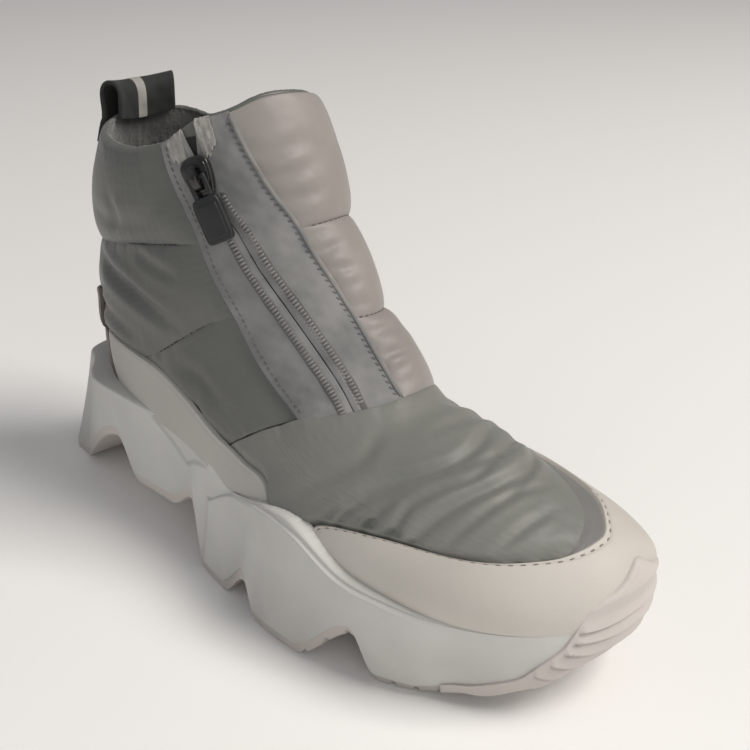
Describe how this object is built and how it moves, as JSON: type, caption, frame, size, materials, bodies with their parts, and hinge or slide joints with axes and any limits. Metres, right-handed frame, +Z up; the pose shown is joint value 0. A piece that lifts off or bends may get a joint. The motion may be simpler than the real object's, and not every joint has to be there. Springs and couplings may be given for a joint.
{
  "type": "sneaker boot",
  "caption": "Ankle-high right sneaker boot: a quilted textile upper with a slanted front zip on a thick notched wedge sole, with a toe bumper and a heel pull loop.",
  "frame": {"origin": "bottom centre of the whole boot's bounding box, on the floor", "axes": "+X toward the toe, +Y toward the boot's inner (big toe) side, +Z up"},
  "size_m": [0.2904, 0.1086, 0.1839],
  "materials": {
    "outsole_rubber": "satin",
    "midsole_foam": "matte",
    "insole_textile": "matte",
    "upper_textile": "satin",
    "coated_overlay": "matte",
    "heel_strip": "satin",
    "placket_textile": "matte",
    "padded_front": "satin",
    "zip_coil": "satin",
    "slider_metal": "gloss",
    "tab_plastic": "satin",
    "loop_webbing": "matte"
  },
  "bodies": {
    "boot": {"outsole": "outsole_rubber", "midsole": "midsole_foam", "insole": "insole_textile", "upper": "upper_textile", "toe_cap": "coated_overlay", "heel_rand_outer": "coated_overlay", "heel_rand_inner": "coated_overlay", "heel_clip": "heel_strip", "zip_placket": "placket_textile", "front_baffles": "padded_front", "zip_teeth": "zip_coil", "zip_slider": "slider_metal", "pull_loop": "loop_webbing"},
    "pull_tab": {"zip_pull_tab": "tab_plastic"}
  },
  "joints": [
    {"name": "pull_tab_swing", "type": "hinge", "parent": "boot", "child": "pull_tab", "pos_m": [-0.02424, -0.03155, 0.15681], "axis": [-0.792, -0.4221, -0.441], "range_deg": [0, 165]}
  ]
}
